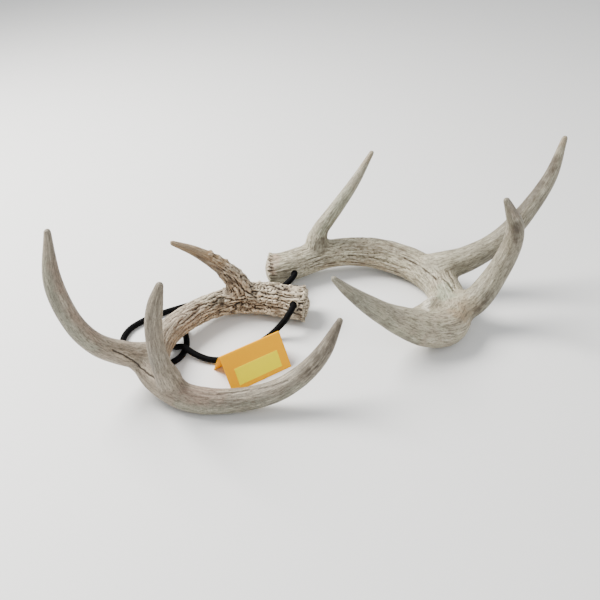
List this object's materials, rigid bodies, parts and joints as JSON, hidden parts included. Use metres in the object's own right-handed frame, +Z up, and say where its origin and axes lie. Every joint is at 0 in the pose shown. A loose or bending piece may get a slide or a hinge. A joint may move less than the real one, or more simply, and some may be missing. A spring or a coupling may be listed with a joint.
{
  "type": "pair of shed deer antlers tied with a cord",
  "caption": "Left and right shed deer antlers lying tines up, tied by a limp cord through a drilled hole near each burr, with a blank folded card.",
  "frame": {"origin": "on the table, under the middle of the pair's box", "axes": "+Z up; +X along the pair's longest spread, towards the fork side of the right antler; +Y away from the low front edge of the left beam"},
  "size_m": [0.45, 0.2274, 0.1487],
  "materials": {
    "left_antler": "dry matt bone, deeply furrowed, brown in the furrows",
    "right_antler": "dry matt bone, weathered grey-beige with fine lengthwise grooves",
    "cord": "matt black braid",
    "card": "smooth matt card",
    "sticker": "semi-gloss label"
  },
  "bodies": {
    "root": {"left_base": "left_antler", "left_shaft": "left_antler", "left_fore_beam": "left_antler", "left_beam_tip": "left_antler", "left_brow_tine": "left_antler", "left_second_tine": "left_antler", "left_third_tine": "left_antler", "right_base": "right_antler", "right_shaft": "right_antler", "right_fore_beam": "right_antler", "right_beam_tip": "right_antler", "right_brow_tine": "right_antler", "right_second_tine": "right_antler", "right_third_tine": "right_antler", "cord": "cord", "right_knot": "cord", "left_knot": "cord", "card": "card", "sticker": "sticker"}
  },
  "joints": []
}
